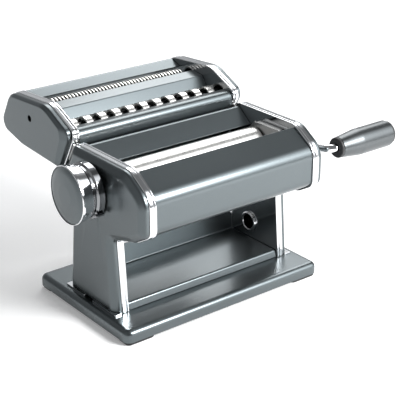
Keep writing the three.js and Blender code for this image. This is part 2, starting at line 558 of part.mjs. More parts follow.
function buildCutter() {
  for (const [name, side] of SIDES) {
    let plate = dish(CUTTER_OUTLINE, PLATE_X, RIM_X);
    for (const axis of Object.values(PAIRS)) {
      plate = plate.subtract(rod(5.8, PLATE_X - 1, PLATE_X + 3, axis, 20));
      plate = plate.subtract(rod(4.35, PLATE_X - 1, PLATE_X + 3, partner(axis), 16));
    }
    const tongue = [[84.2, 2.2], [86.6, 2.2], [86.6, 3.6], [86, 3.6], [86, 6.4], [84.8, 6.4], [84.8, 3.6],
      [84.2, 3.6]];
    plate = plate.add(alongSlant(tongue, 3, 19));
    add(`cutter_plate_${name}`, mirrored(plate, side), chrome);

    const rail = [[82.8, GAP], [88, GAP], [88, 4.6], [86.3, 4.6], [86.3, 3.95], [87, 3.95], [87, 1.7],
      [83.8, 1.7], [83.8, 3.95], [84.5, 3.95], [84.5, 4.6], [82.8, 4.6]];
    add(`cutter_rail_${name}`, mirrored(alongSlant(rail, 2, 20), side), satin);

    let cap = endCap(CUTTER_OUTLINE, RIM_X + GAP, COVER_X, 3);
    if (side > 0) {
      for (const axis of Object.values(PAIRS)) cap = cap.subtract(rod(6.6, 88, 100, axis));
    }
    cap = cap.subtract(rod(3, 88, 100, [103.8, 153], 14));
    add(`cutter_end_cover_${name}`, mirrored(cap, side), paint);
  }

  const half = PLATE_X - GAP;
  const nose = [[58, 154.4], [47, 155.6, 6], [45.8, 147, 3], [62.8, 121.5]];
  const ridge = [[104.2, 161.9], [90.2, 160.2, 1.5], [84, 151.4]];
  const rear = [[125.6, 160.9], [138.6, 166.4, 3], [154.2, 139.8, 8], [149.8, 131.2]];
  add('cutter_front_rail', prism(sheetOutline(nose), -half, half), paint);
  add('cutter_ridge', prism(sheetOutline(ridge), -half, half), paint);
  add('cutter_rear_wall', prism(sheetOutline(rear), -half, half), paint);
  const combs = {
    wide: [[70.5, 134.8], [72, 127, 2], [66.8, 121.6]],
    fine: [[116.5, 140.6], [117, 131, 2], [108, 124.5]],
  };
  for (const [name, line] of Object.entries(combs)) {
    add(`cutter_${name}_comb`, prism(sheetOutline(line), -half, half), satin);
  }

  const drive = [[5.5, 78], [5.5, 95], [CRANK_SOCKET_R, 95], [CRANK_SOCKET_R, 79.5], [0, 79.5]];
  const plain = [[4, 78], [4, 93], [0, 93]];
  const span = (WIDE_COUNT - 1) * WIDE_PITCH;
  const first = -(span + WIDE_RING) / 2;
  add('wide_cutter_upper', ringedRoller(WIDE_AXIS, first, WIDE_COUNT, drive), satin);
  add('wide_cutter_lower',
    ringedRoller(partner(WIDE_AXIS), first + WIDE_PITCH / 2, WIDE_COUNT - 1, plain), satin);
  const drum = CUTTER_SPREAD / 2 - 0.15;
  const drumProfile = (journal) => [[0, -92], [4, -92], [4, -78], [drum, -78], [drum, 78], ...journal];
  add('fine_cutter_upper', turned(drumProfile(drive), FINE_AXIS, 22), satin);
  add('fine_cutter_lower', turned(drumProfile(plain), partner(FINE_AXIS), 22), satin);

  const facing = Math.atan2(CUTTER_DIR[1], CUTTER_DIR[0]);
  for (const [name, axis] of Object.entries(PAIRS)) {
    const upper = prism(gearOutline(axis, 12, 7.9, 10.4, [1.25, 0.55], facing, 0), 88.2, 92.4);
    add(`${name}_gear_upper`, upper.subtract(rod(5.55, 80, 96, axis, 24)), satin);
    const below = partner(axis);
    const lower = prism(gearOutline(below, 12, 7.9, 10.4, [1.25, 0.55], facing + Math.PI, 0.5), 88.2, 92.4);
    add(`${name}_gear_lower`, lower.subtract(rod(4.05, 80, 96, below, 20)), satin);
  }
}

buildBase();
buildShelf();
buildBody();
buildRollers();
buildKnob();
buildCrank();
buildCutter();

const bounds = new THREE.Box3().setFromObject(part);
const middle = bounds.getCenter(new THREE.Vector3());
part.position.set(-middle.x, -middle.y, -bounds.min.z);

export default part;
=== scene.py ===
"""A hand-cranked pasta roller machine with a lift-off cutter head, in grey metallic paint and chrome.

Shapes are worked out in drawing millimetres: x runs along the rollers towards the crank, the front is
at -y, and the drawing's zero is on the table under the middle of the body. Each side view is a list of
corners (y, z, fillet radius).
"""
import json
import math

import bmesh
import bpy
import numpy as np
from mathutils import Matrix, Vector
from mathutils.geometry import tessellate_polygon


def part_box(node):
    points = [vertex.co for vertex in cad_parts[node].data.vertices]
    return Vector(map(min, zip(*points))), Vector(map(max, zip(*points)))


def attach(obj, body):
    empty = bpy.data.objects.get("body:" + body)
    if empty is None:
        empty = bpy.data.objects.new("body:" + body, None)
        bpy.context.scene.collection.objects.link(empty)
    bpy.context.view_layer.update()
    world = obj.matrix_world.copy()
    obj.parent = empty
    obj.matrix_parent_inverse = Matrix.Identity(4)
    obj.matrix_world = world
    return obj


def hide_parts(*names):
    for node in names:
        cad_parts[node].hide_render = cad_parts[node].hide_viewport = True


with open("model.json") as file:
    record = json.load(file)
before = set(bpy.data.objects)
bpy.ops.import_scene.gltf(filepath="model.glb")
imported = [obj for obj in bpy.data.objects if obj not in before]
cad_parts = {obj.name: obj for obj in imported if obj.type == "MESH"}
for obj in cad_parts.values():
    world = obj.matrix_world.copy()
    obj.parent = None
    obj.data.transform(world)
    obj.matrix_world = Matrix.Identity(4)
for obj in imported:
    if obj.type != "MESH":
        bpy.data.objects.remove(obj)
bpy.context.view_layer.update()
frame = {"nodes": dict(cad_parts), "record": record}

# ---- driving dimensions, in millimetres ---------------------------------------------------
MM = 0.001
SHEET = 1.2
PLATE_X = 82.0
RIM_X = 88.7
COVER_X = 95.5
CLEAR = 0.3
TRAY = {"half": 104.9, "front": -50.0, "rear": 88.8, "bottom": 3.0, "top": 13.5, "corner": 6.5}
ROLLER_R = 14.0
ROLLER_HALF = 74.0
JOURNAL_R = 6.0
NIP = np.array([math.cos(math.radians(25)), -math.sin(math.radians(25))])
REST_GAP = 4.8 - 5 * 4.2 / 9
FRONT_AXIS = np.array([4.0, 121.0])
REAR_AXIS = FRONT_AXIS + NIP * (2 * ROLLER_R + REST_GAP)
KNOB_AXIS = np.array([6.2, 120.0])
GRIP_AXIS = np.array([-56.7, 123.3])
GRIP_X = 115.0
GRIP_R = 11.9
GRIP_LENGTH = 64.0
CUTTER_DIR = np.array([0.789, -0.614])
CUTTER_SPREAD = 18.5
WIDE_AXIS = np.array([72.0, 146.0])
FINE_AXIS = np.array([118.0, 151.5])
WIDE_PITCH = 14.64
FINE_PITCH = 3.5
CLAMP_HOLE = np.array([19.7, 36.0])
TIE_RODS = ((-50.0, 112.0), (30.0, 84.0))
SOCKET_R = 3.9
SOCKET_X = 79.5
SIDES = (("left", -1), ("right", 1))

BODY_SIDE = [
    (-20.6, 13.8, 0.5), (54, 13.8, 0.5), (46, 80, 30), (52, 125, 7), (38.5, 147.5, 5),
    (-38.5, 147.5, 22), (-64.2, 131, 20), (-63.8, 98, 10), (-46, 88, 14), (-15.9, 80, 5),
]
CUTTER_SIDE = [
    (62.1, 119, 5), (122, 122.3, 40), (150.5, 129.5, 9), (156, 140, 14), (139.5, 168, 14),
    (79, 171.8, 30), (44.3, 155.8, 9), (44.4, 148.5, 3),
]
CUTTER_FACE = [
    (65.5, 122.5, 5), (122, 125.3, 38), (148.8, 131.8, 8), (153, 140, 12), (137.8, 165.2, 12),
    (80.5, 168.6, 28), (55.5, 156.2, 10), (54.5, 147.5, 4),
]

low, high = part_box("base_tray")
ORIGIN = np.array([(low[0] + high[0]) / 2, low[1] - TRAY["front"] * MM, 0.0])


# ---- shapes -------------------------------------------------------------------------------
def rows(corners):
    """Corners as rows of three numbers, with no fillet where none is given."""
    return np.array([(*c, 0.0)[:3] for c in corners], float)


def unit(v):
    """Vectors at length one."""
    return v / np.maximum(np.linalg.norm(v, axis=-1, keepdims=True), 1e-12)


def rounded(corners, closed=True, steps=7, support=0.6):
    """Corners with a fillet at each: the arc's centre is on the corner's bisector at r / sin(half the
    corner's angle), and its points are the centre plus r (cos a, sin a) from one edge to the other. A
    support point on each edge, just past the arc, keeps the flat beside it flat."""
    c = rows(corners)
    here = c if closed else c[1:-1]
    before = np.roll(c, 1, axis=0) if closed else c[:-2]
    after = np.roll(c, -1, axis=0) if closed else c[2:]
    p, radius = here[:, :2], np.maximum(here[:, 2:], 0.02)
    to_back, to_ahead = before[:, :2] - p, after[:, :2] - p
    back, ahead = unit(to_back), unit(to_ahead)
    half = np.arccos(np.clip((back * ahead).sum(1, keepdims=True), -1, 1)) / 2
    room = np.minimum(np.linalg.norm(to_back, axis=1), np.linalg.norm(to_ahead, axis=1))[:, None]
    reach = np.minimum(radius / np.tan(half), 0.46 * room)
    r = reach * np.tan(half)
    centre = p + unit(back + ahead) * r / np.sin(half)
    first, last = p + back * reach - centre, p + ahead * reach - centre
    start = np.arctan2(first[:, 1], first[:, 0])
    sweep = np.arctan2(last[:, 1], last[:, 0]) - start
    sweep = (sweep + math.pi) % (2 * math.pi) - math.pi
    a = start[:, None] + sweep[:, None] * np.linspace(0, 1, steps + 1)
    arc = centre[:, None] + r[:, None] * np.stack([np.cos(a), np.sin(a)], -1)
    edge = np.minimum(support, 0.03 * room)
    ends = [(p + back * (reach + edge))[:, None], (p + ahead * (reach + edge))[:, None]]
    line = np.concatenate([ends[0], arc, ends[1]], axis=1).reshape(-1, 2)
    if closed:
        return line
    return np.concatenate([c[:1, :2], line, c[-1:, :2]])


def inset(corners, distance):
    """The same corners after every edge of an anticlockwise outline moves inwards by a distance: each
    corner is where its two moved edges cross, and its fillet shrinks by the distance, or grows in a
    hollow."""
    c = rows(corners)
    p = c[:, :2]
    along = unit(np.roll(p, -1, axis=0) - p)
    at = p + np.stack([-along[:, 1], along[:, 0]], -1) * distance
    along0, at0 = np.roll(along, 1, axis=0), np.roll(at, 1, axis=0)
    turn = along0[:, 0] * along[:, 1] - along0[:, 1] * along[:, 0]
    gap = at - at0
    t = (gap[:, 0] * along[:, 1] - gap[:, 1] * along[:, 0]) / turn
    radius = np.maximum(0.3, c[:, 2] - np.sign(turn) * distance)
    return np.column_stack([at0 + along0 * t[:, None], radius])


def ring(axis, r, count=48):
    """Points around a circle: the axis plus r (cos a, sin a)."""
    a = np.linspace(0, 2 * math.pi, count, endpoint=False)
    return np.asarray(axis) + r * np.column_stack([np.cos(a), np.sin(a)])


def at_x(x, points):
    """Side-view points (y, z) set at x."""
    points = np.asarray(points, float)
    x = np.broadcast_to(np.asarray(x, float), points.shape[:-1])
    return np.concatenate([x[..., None], points], -1)


SHARP_ANGLE = math.radians(38)


class Shape:
    """The grids and flat faces of one piece, gathered before they become a mesh."""

    def __init__(self):
        self.points = []
        self.faces = []
        self.count = 0

    def keep(self, points, faces):
        """Adds points, and faces that are numbered from the first of them."""
        self.faces += (np.asarray(faces) + self.count).tolist()
        self.points.append(np.asarray(points).reshape(-1, 3))
        self.count += len(self.points[-1])
        return self

    def grid(self, points, wrap=False):
        """Quads between neighbouring rows and columns; `wrap` joins the last column to the first."""
        n, m = points.shape[:2]
        number = np.arange(n * m).reshape(n, m)
        if wrap:
            number = np.concatenate([number, number[:, :1]], axis=1)
        quads = np.stack([number[:-1, :-1], number[1:, :-1], number[1:, 1:], number[:-1, 1:]], -1)
        return self.keep(points, quads.reshape(-1, 4))

    def flat(self, *loops):
        """One flat face inside the first loop and outside the others."""
        triangles = tessellate_polygon([[Vector(p) for p in loop] for loop in loops])
        return self.keep(np.concatenate(loops), triangles)


def shaded(thing):
    """Takes a piece's modifiers into its mesh, marks the edges that stay sharp, and turns each corner's
    normal towards its largest faces, so that flats stay flat beside their rounded edges."""
    mesh = thing.data
    if len(thing.modifiers):
        evaluated = thing.evaluated_get(bpy.context.evaluated_depsgraph_get())
        mesh = bpy.data.meshes.new_from_object(evaluated)
        thing.modifiers.clear()
        thing.data = mesh
        mesh.name = thing.name
    mesh.shade_smooth()
    mesh.set_sharp_from_angle(angle=SHARP_ANGLE)
    weigh = thing.modifiers.new("flats", "WEIGHTED_NORMAL")
    weigh.mode = "FACE_AREA"
    weigh.weight = 80
    weigh.keep_sharp = True
    return mesh


def piece(name, shape, body, finish, stands_for=(), wall=0.0, edge=0.0, middle=False):
    """A mesh of the shape at its real place. `wall` gives an open surface its thickness inwards, or to
    both sides of its middle, and `edge` rounds its sharp edges."""
    mesh = bpy.data.meshes.new(name)
    points = np.concatenate(shape.points) * MM + ORIGIN
    mesh.from_pydata(points.tolist(), [], shape.faces)
    work = bmesh.new()
    work.from_mesh(mesh)
    bmesh.ops.remove_doubles(work, verts=work.verts, dist=2e-6)
    bmesh.ops.dissolve_degenerate(work, dist=1e-6, edges=work.edges)
    bmesh.ops.recalc_face_normals(work, faces=work.faces)
    work.to_mesh(mesh)
    work.free()
    thing = bpy.data.objects.new(name, mesh)
    bpy.context.scene.collection.objects.link(thing)
    if wall:
        solidify = thing.modifiers.new("wall", "SOLIDIFY")
        solidify.thickness = wall * MM
        solidify.offset = 0.0 if middle else -1.0
        solidify.use_even_offset = True
    if edge:
        bevel = thing.modifiers.new("edges", "BEVEL")
        bevel.width = edge * MM
        bevel.segments = 2
        bevel.angle_limit = math.radians(50)
    mesh = shaded(thing)
    mesh.materials.append(finish)
    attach(thing, body)
    if stands_for:
        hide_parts(*stands_for)
    return thing


def pressed(side, path, corners_at, holes=(), face=True):
    """A pressed end plate: an outline is carried along a path of (x, distance inwards), and the last
    one is closed by a flat face with holes."""
    line = rounded(path, closed=False, steps=5, support=0.3)
    loops = [rounded(corners_at(d), steps=8) for d in line[:, 1]]
    rings = np.stack([at_x(side * x, loop) for x, loop in zip(line[:, 0], loops)])
    shape = Shape().grid(rings, wrap=True)
    if face:
        shape.flat(rings[-1], *[at_x(side * line[-1, 0], hole) for hole in holes])
    return shape, rings[-1]


def folded(path, half):
    """A folded sheet: a side-view line of corners carried along x from -half to half."""
    line = rounded(path, closed=False, steps=7)
    across = np.array([-half, -half + 1, half - 1, half])
    return Shape().grid(np.stack([at_x(x, line) for x in across], axis=1))


def turned(profile, axis, count=96):
    """A turned piece: a closed or pole-to-pole line of (radius, length, fillet) carried round an axis
    along x. A point is axis + radius (cos a, sin a), at its length."""
    p = rows(profile)
    closed = bool(np.allclose(p[0, :2], p[-1, :2]))
    line = rounded(p[:-1] if closed else p, closed=closed, steps=4, support=0.25)
    if closed:
        line = np.concatenate([line, line[:1]])
    a = np.linspace(0, 2 * math.pi, count, endpoint=False)
    radius = line[:, :1]
    u, v = radius * np.cos(a), radius * np.sin(a)
    length = np.broadcast_to(line[:, 1:2], u.shape)
    return Shape().grid(np.stack([length, axis[0] + u, axis[1] + v], -1), wrap=True)


# ---- finishes -----------------------------------------------------------------------------
class Level:
    """A number that changes over a surface. Arithmetic on levels adds Math nodes."""

    def __init__(self, work, socket):
        self.work = work
        self.socket = socket

    def join(self, operation, first, second):
        out = self.work.node("ShaderNodeMath", {"operation": operation}, {0: first, 1: second})
        return Level(self.work, out.outputs[0])

    def __add__(self, other):
        return self.join("ADD", self, other)

    def __mul__(self, other):
        return self.join("MULTIPLY", self, other)

    def __pow__(self, other):
        return self.join("POWER", self, other)

    __radd__ = __add__
    __rmul__ = __mul__


class Finish:
    """A material being made. Every node comes from `node`."""

    def __init__(self, name, owner=None):
        self.material = owner or bpy.data.materials.new(name)
        self.material.use_nodes = True
        self.tree = self.material.node_tree
        self.tree.nodes.clear()

    def node(self, kind, settings=None, inputs=None):
        """A node of a kind, with its settings and then its sockets' values or links."""
        made = self.tree.nodes.new(kind)
        for key, value in (settings or {}).items():
            setattr(made, key, value)
        for key, value in (inputs or {}).items():
            if isinstance(value, Level):
                value = value.socket
            if isinstance(value, bpy.types.NodeSocket):
                self.tree.links.new(value, made.inputs[key])
            else:
                made.inputs[key].default_value = value
        return made

    def place(self, stretch=(1, 1, 1)):
        """Object coordinates in metres, stretched along the axes."""
        where = self.node("ShaderNodeTexCoord").outputs["Object"]
        if stretch == (1, 1, 1):
            return where
        return self.node("ShaderNodeMapping", {}, {"Vector": where, "Scale": stretch}).outputs[0]

    def noise(self, scale, detail=3.0, stretch=(1, 1, 1)):
        """Soft noise, with its scale in marks per metre."""
        out = self.node("ShaderNodeTexNoise", {}, {
            "Vector": self.place(stretch), "Scale": scale, "Detail": detail, "Roughness": 0.55})
        return Level(self, out.outputs[0])

    def blend(self, first, second, share):
        """A colour between two others, by a share from 0 to 1."""
        first, second = ((*c, 1) if isinstance(c, tuple) else c for c in (first, second))
        out = self.node("ShaderNodeMix", {"data_type": "RGBA"}, {0: share, 6: first, 7: second})
        return out.outputs[2]

    def done(self, height=None, depth=0.0, **inputs):
        """The surface itself, with a bump of the given depth in metres from a height level."""
        values = {key.replace("_", " "): value for key, value in inputs.items()}
        if height is not None:
            relief = {"Height": height, "Distance": depth, "Strength": 1.0}
            bump = self.node("ShaderNodeBump", {}, relief)
            values["Normal"] = bump.outputs[0]
        shader = self.node("ShaderNodeBsdfPrincipled", {}, values)
        self.node("ShaderNodeOutputMaterial", {}, {"Surface": shader.outputs[0]})
        return self.material


def grey_paint():
    """Sprayed metallic slate grey: fine bright flakes, a faint orange peel and soft handling marks."""
    f = Finish("grey_paint")
    flakes = f.noise(2600, detail=2.0)
    peel = f.noise(420, detail=1.0)
    smears = f.noise(14, detail=4.0, stretch=(0.5, 1, 1))
    colour = f.blend((0.092, 0.107, 0.113), (0.140, 0.160, 0.167), flakes * 0.7 + smears * 0.3)
    return f.done(peel * 0.8 + flakes * 0.2, 1.2e-5, Base_Color=colour, Metallic=0.93,
                  Roughness=0.22 + flakes * 0.08 + smears * 0.08, Coat_Weight=0.2, Coat_Roughness=0.15)


def chrome(name="chrome", dull=(0.74, 0.75, 0.77), bright=(0.86, 0.87, 0.88)):
    """Bright polish with a hint of buffing lines and of fingerprints."""
    f = Finish(name)
    buffing = f.noise(60, detail=2.0, stretch=(3, 1, 1))
    prints = f.noise(45, detail=4.0)
    colour = f.blend(dull, bright, prints)
    return f.done(buffing, 1.5e-7, Base_Color=colour, Metallic=1.0,
                  Roughness=0.05 + prints * 0.05 + buffing * 0.03)


def turned_metal(name, dark, bright, rough, lines=2400, painted_shade_axis=None):
    """Metal off the lathe: fine rings along x, over a slow change of tone. Given an axis, its colour is
    painted darker from 9.4 mm in to 7.6 mm about it: painted shade in the narrow grooves between the
    rings."""
    f = Finish(name)
    tool = f.noise(lines, detail=2.0, stretch=(1, 0.006, 0.006))
    broad = f.noise(60, detail=3.0, stretch=(1, 0.25, 0.25))
    colour = f.blend(dark, bright, tool * 0.6 + broad * 0.4)
    # Painted shade: near black at 7.6 mm from the axis, fading out by 9.4 mm, to darken the grooves
    # between the rings.
    if painted_shade_axis is not None:
        centre = (np.array([0, *painted_shade_axis]) * MM + ORIGIN).tolist()
        arm = f.node("ShaderNodeVectorMath", {"operation": "SUBTRACT"}, {0: f.place(), 1: centre})
        across = f.node("ShaderNodeVectorMath", {"operation": "MULTIPLY"},
                        {0: arm.outputs[0], 1: (0, 1, 1)})
        reach = f.node("ShaderNodeVectorMath", {"operation": "LENGTH"}, {0: across.outputs[0]})
        unshaded_share = f.node("ShaderNodeMapRange", {"interpolation_type": "SMOOTHSTEP"}, {
            "Value": reach.outputs["Value"], "From Min": 7.6 * MM, "From Max": 9.4 * MM})
        colour = f.blend((0.02, 0.02, 0.02), colour, Level(f, unshaded_share.outputs[0]))
    return f.done(tool, 1.2e-5, Base_Color=colour, Metallic=1.0,
                  Roughness=rough + tool * 0.12 + broad * 0.06)


def satin_steel():
    """Rolled sheet steel with a fine grain and cloudy tone."""
    f = Finish("satin_steel")
    grain = f.noise(900, detail=3.0, stretch=(0.05, 1, 1))
    cloud = f.noise(35, detail=4.0)
    colour = f.blend((0.55, 0.55, 0.55), (0.76, 0.76, 0.75), grain * 0.5 + cloud * 0.5)
    return f.done(grain, 1e-5, Base_Color=colour, Metallic=1.0,
                  Roughness=0.28 + grain * 0.12 + cloud * 0.06)


def cast_grey():
    """Die-cast alloy, tumbled to a light satin."""
    f = Finish("cast_grey")
    grain = f.noise(1100, detail=3.0)
    cloud = f.noise(50, detail=3.0)
    colour = f.blend((0.50, 0.51, 0.51), (0.68, 0.68, 0.67), cloud)
    return f.done(grain, 1.5e-5, Base_Color=colour, Metallic=0.35, Roughness=0.38 + grain * 0.12)


def foot_rubber():
    """Moulded black rubber, with a fine grain and a trace of dust."""
    f = Finish("foot_rubber")
    grain = f.noise(1800, detail=3.0)
    dust = f.noise(120, detail=4.0)
    colour = f.blend((0.010, 0.010, 0.011), (0.045, 0.045, 0.044), dust ** 2.0)
    return f.done(grain, 6e-5, Base_Color=colour, Metallic=0.0, Roughness=0.72 + grain * 0.2)


def black_plastic():
    """Moulded black plastic with a fine spark texture."""
    f = Finish("black_plastic")
    spark = f.noise(2200, detail=2.0)
    wear = f.noise(90, detail=4.0)
    colour = f.blend((0.012, 0.012, 0.013), (0.040, 0.040, 0.042), wear)
    return f.done(spark, 2.5e-5, Base_Color=colour, Metallic=0.0,
                  Roughness=0.34 + spark * 0.16 + wear * 0.08)


def bearing_brass():
    """Turned brass, slightly dulled."""
    f = Finish("bearing_brass")
    tool = f.noise(1600, detail=2.0, stretch=(1, 0.02, 0.02))
    dull = f.noise(70, detail=4.0)
    colour = f.blend((0.42, 0.29, 0.12), (0.62, 0.47, 0.22), tool * 0.4 + dull * 0.6)
    return f.done(tool, 1e-5, Base_Color=colour, Metallic=1.0, Roughness=0.26 + dull * 0.16)


PAINT = grey_paint()
CHROME = chrome()
# Chrome with painted shade: a darker base colour stands in for the dark surroundings that the dial
# collar reflects.
SHADED_CHROME = chrome("chrome_painted_shade", (0.22, 0.225, 0.235), (0.34, 0.345, 0.355))
ROLLER = turned_metal("roller_metal", (0.72, 0.71, 0.69), (0.90, 0.89, 0.86), 0.20)
STEEL = satin_steel()
CAST = cast_grey()
ANODISED = turned_metal("dark_anodised", (0.085, 0.092, 0.095), (0.15, 0.16, 0.165), 0.24, lines=1500)
RUBBER = foot_rubber()
PLASTIC = black_plastic()
BRASS = bearing_brass()
SLOTS = {"grey_paint": PAINT, "chrome": CHROME, "roller_metal": ROLLER, "satin_steel": STEEL,
         "dark_anodised": ANODISED, "foot_rubber": RUBBER, "black_plastic": PLASTIC,
         "bearing_brass": BRASS}

for subpart in frame["record"]["subparts"]:
    metal = frame["nodes"][subpart["node"]].data.materials
    metal.clear()
    metal.append(SLOTS[subpart["material_slot"]])


# ---- base ---------------------------------------------------------------------------------
def rectangle(x, y, corner):
    """The corners of a rounded rectangle between two x and two y."""
    return [(x[0], y[0], corner), (x[1], y[0], corner), (x[1], y[1], corner), (x[0], y[1], corner)]


def stacked(loops, levels):
    """Plan loops (x, y), each set at its own height."""
    return np.stack([np.column_stack([loop, np.full(len(loop), z)]) for loop, z in zip(loops, levels)])


def base_tray():
    """The pressed tray: a rounded rectangle carried up its side, over its edge and onto its top."""
    half, top, edge_r, land = TRAY["half"], TRAY["top"], 6, 13
    plan = rectangle((-half, half), (TRAY["front"], TRAY["rear"]), TRAY["corner"])
    path = [(TRAY["bottom"], 0), (top, 0, edge_r), (top, land)]
    line = rounded(path, closed=False, steps=8, support=0.4)
    rings = stacked([rounded(inset(plan, d), steps=14) for d in line[:, 1]], line[:, 0])
    return Shape().grid(rings, wrap=True).flat(rings[-1])


def corner_foot(x, y):
    """A rubber foot: a rounded block that tapers a little to the ground, with a shallow hollow under
    it, and a stem up to the tray. Each level (height, distance) is the plan moved inwards."""
    half_x, half_y, corner = 14, 8, 4
    plan = rectangle((x - half_x, x + half_x), (y - half_y, y + half_y), corner)
    hollow = [(0.5, 3.2), (0.5, 2.2), (0, 2.0), (0, 1.0)]
    side = [(0.25, 0.5), (0.8, 0.15), (2.2, 0), (2.55, 0.15), (2.7, 0.5)]
    stem = [(2.7, 3.8), (2.75, 4.0), (12, 4.0)]
    levels = hollow + side + stem
    rings = stacked([rounded(inset(plan, d)) for _, d in levels], [z for z, _ in levels])
    return Shape().grid(rings, wrap=True).flat(rings[0]).flat(rings[-1])


def bridge_shelf():
    """The bridge between the pillars: front flange, shelf, fold and rear wall. The sheet's half width
    is full along the line, and falls by r - sqrt(r^2 - s^2) over the wall's last r millimetres."""
    half, top, corner, shelf_z, wall_y = PLATE_X - 0.6, 39.5, 6.0, 19.7, 46.4
    path = [(-18.6, 13.9), (-17, shelf_z, 1.5), (wall_y - 1, shelf_z, 2), (wall_y, top)]
    line = rounded(path, closed=False)
    climb = np.linspace(0, 1, 15)[1:]
    wall = line[-2] + (line[-1] - line[-2]) * climb[:, None]
    line = np.concatenate([line[:-1], wall])
    s = np.clip(line[:, 1] - (top - corner), 0, corner) * (line[:, 0] > wall_y - corner)
    width = half - (corner - np.sqrt(corner ** 2 - s ** 2))
    across = np.array([-1, -0.985, 0.985, 1])
    return Shape().grid(np.stack([at_x(a * width, line) for a in across], axis=1))


FOOT_X = 89.4
FOOT_Y = {"front": -40.8, "rear": 79.6}

piece("tray_pressing", base_tray(), "frame", PAINT, ["base_tray"], wall=SHEET)
for place, y in FOOT_Y.items():
    for name, side in SIDES:
        node = f"foot_{place}_{name}"
        piece(f"rubber_{node}", corner_foot(side * FOOT_X, y), "frame", RUBBER, [node])
piece("bridge_sheet", bridge_shelf(), "frame", PAINT, ["bridge_shelf"],
      wall=SHEET, middle=True, edge=0.25)


# ---- body ---------------------------------------------------------------------------------
# Paths of (x, distance inwards): the rim is a broad bead, a groove and a narrow bead.
RIM_PATH = [(RIM_X, 1.8), (RIM_X, 0.1, 1.2), (RIM_X - 3.6, -0.1, 1.2), (RIM_X - 4.1, 0.55, 0.3),
            (RIM_X - 4.5, 0.55, 0.3), (RIM_X - 4.9, -0.1, 0.7), (PLATE_X, -0.1, 0.9), (PLATE_X, 4.5)]
COVER_PATH = [(RIM_X + CLEAR, 0.9), (RIM_X + 3.2, 0.9, 2.6), (COVER_X, 6.6, 8), (COVER_X, 10)]
COVER_FOOT_Z = 15.3
KNOB_BORE = 5.6


def slot_outline(half, back, ahead):
    """The rounded window in which the front roller's bearing slides, turned along the nip."""
    across = np.array([-NIP[1], NIP[0]])
    ends = [(-back, -half), (ahead, -half), (ahead, half), (-back, half)]
    corners = [(*(FRONT_AXIS + NIP * u + across * v), 1.5) for u, v in ends]
    return rounded(corners, steps=4)


def plate_holes(side):
    """The holes in an end plate: the front roller's slot, the rear roller's bush, the tie rods and,
    on the right, the clamp's socket."""
    holes = [slot_outline(6.7, 9.04, 8.57), ring(REAR_AXIS, 8.3)]
    holes += [ring(at, 2.8, 24) for at in TIE_RODS]
    if side > 0:
        holes.append(ring(CLAMP_HOLE, 10.0))
    return holes


def body_corners(d):
    """Body corners moved inwards, with the pillar's foot kept at its height: the two foot corners go
    back down along the pillar's edges."""
    corners = inset(BODY_SIDE, d)
    lift = COVER_FOOT_Z - corners[:2, 1]
    lean = np.array([-0.071, -0.1208])
    corners[:2, 0] += lean * lift
    corners[:2, 1] = COVER_FOOT_Z
    return corners


def smooth_step(v):
    """3 v^2 - 2 v^3, held between 0 and 1."""
    v = np.clip(v, 0, 1)
    return v ** 2 * (3 - 2 * v)


def knob_side_cover():
    """The left cover. Its face is a grid from the edge in to the knob's bore, and it stands out in a
    cone about the knob: height = 2.8 S((40 - r) / 22) S(room / 14) S((z - 88) / 26), where S is a
    smooth step and the room is a soft minimum of the distances to the head's upper edges."""
    shape, loop = pressed(-1, COVER_PATH, body_corners, face=False)
    arm = loop[:, 1:] - KNOB_AXIS
    length = np.linalg.norm(arm, axis=1)
    t = np.linspace(0, 1, 56)[:, None]
    r = length - (length - KNOB_BORE) * t
    points = KNOB_AXIS + arm / length[:, None] * r[..., None]
    head = inset(BODY_SIDE, COVER_PATH[-1][1])[2:6, :2]
    along = unit(head[1:] - head[:-1])
    inward = np.stack([-along[:, 1], along[:, 0]], -1)
    room = ((points[..., None, :] - head[:-1]) * inward).sum(-1)
    room = -np.log(np.exp(-0.5 * room).sum(-1)) / 0.5
    rise = smooth_step((40 - r) / 22) * smooth_step(room / 14) * smooth_step((points[..., 1] - 88) / 26)
    return shape.grid(at_x(-(COVER_X + 2.8 * rise), points), wrap=True)


def foot_lip(side, front, rear):
    """A strip of the plate's foot, which shows under the end cover."""
    inner, outer, corner = 89.5, 97.2, 1.0
    loop = rounded([(front, inner, corner), (rear, inner, corner), (rear, outer, corner),
                    (front, outer, corner)], steps=4)
    plan = np.column_stack([side * loop[:, 1], loop[:, 0]])
    rings = stacked([plan, plan], (13.75, 14.95))
    return Shape().grid(rings, wrap=True).flat(rings[0]).flat(rings[-1])


def clamp_ring():
    """The clamp socket: a rounded bead inside the plate, a waist through it and a flange beyond."""
    bore, neck, flange, bead_x = 7, 9, 10.9, 79.8
    bead = [(bore, bead_x, 1.2), (9.7, bead_x, 1.2), (9.7, 83.5)]
    outer = [(flange, 83.5, 0.3), (flange, 84.3, 0.3), (neck, 84.3), (neck, 86.5, 0.3),
             (bore, 86.5, 0.3)]
    return turned([*bead, *outer, bead[0]], CLAMP_HOLE, 64)


LIP_ENDS = {"front": (-21.4, 13.6), "rear": (25.7, 54.2)}
for name, side in SIDES:
    plate, _ = pressed(side, RIM_PATH, lambda d: inset(BODY_SIDE, d), plate_holes(side))
    piece(f"end_plate_{name}", plate, "frame", CHROME, [f"side_plate_{name}"], wall=SHEET)
    cover = knob_side_cover() if side < 0 else pressed(
        side, COVER_PATH, body_corners, [ring(REAR_AXIS, 7)])[0]
    piece(f"body_cover_{name}", cover, "frame", PAINT, [f"end_cover_{name}"], wall=SHEET)
    for place, ends in LIP_ENDS.items():
        piece(f"pillar_lip_{name}_{place}", foot_lip(side, *ends), "frame", CHROME, edge=0.3)

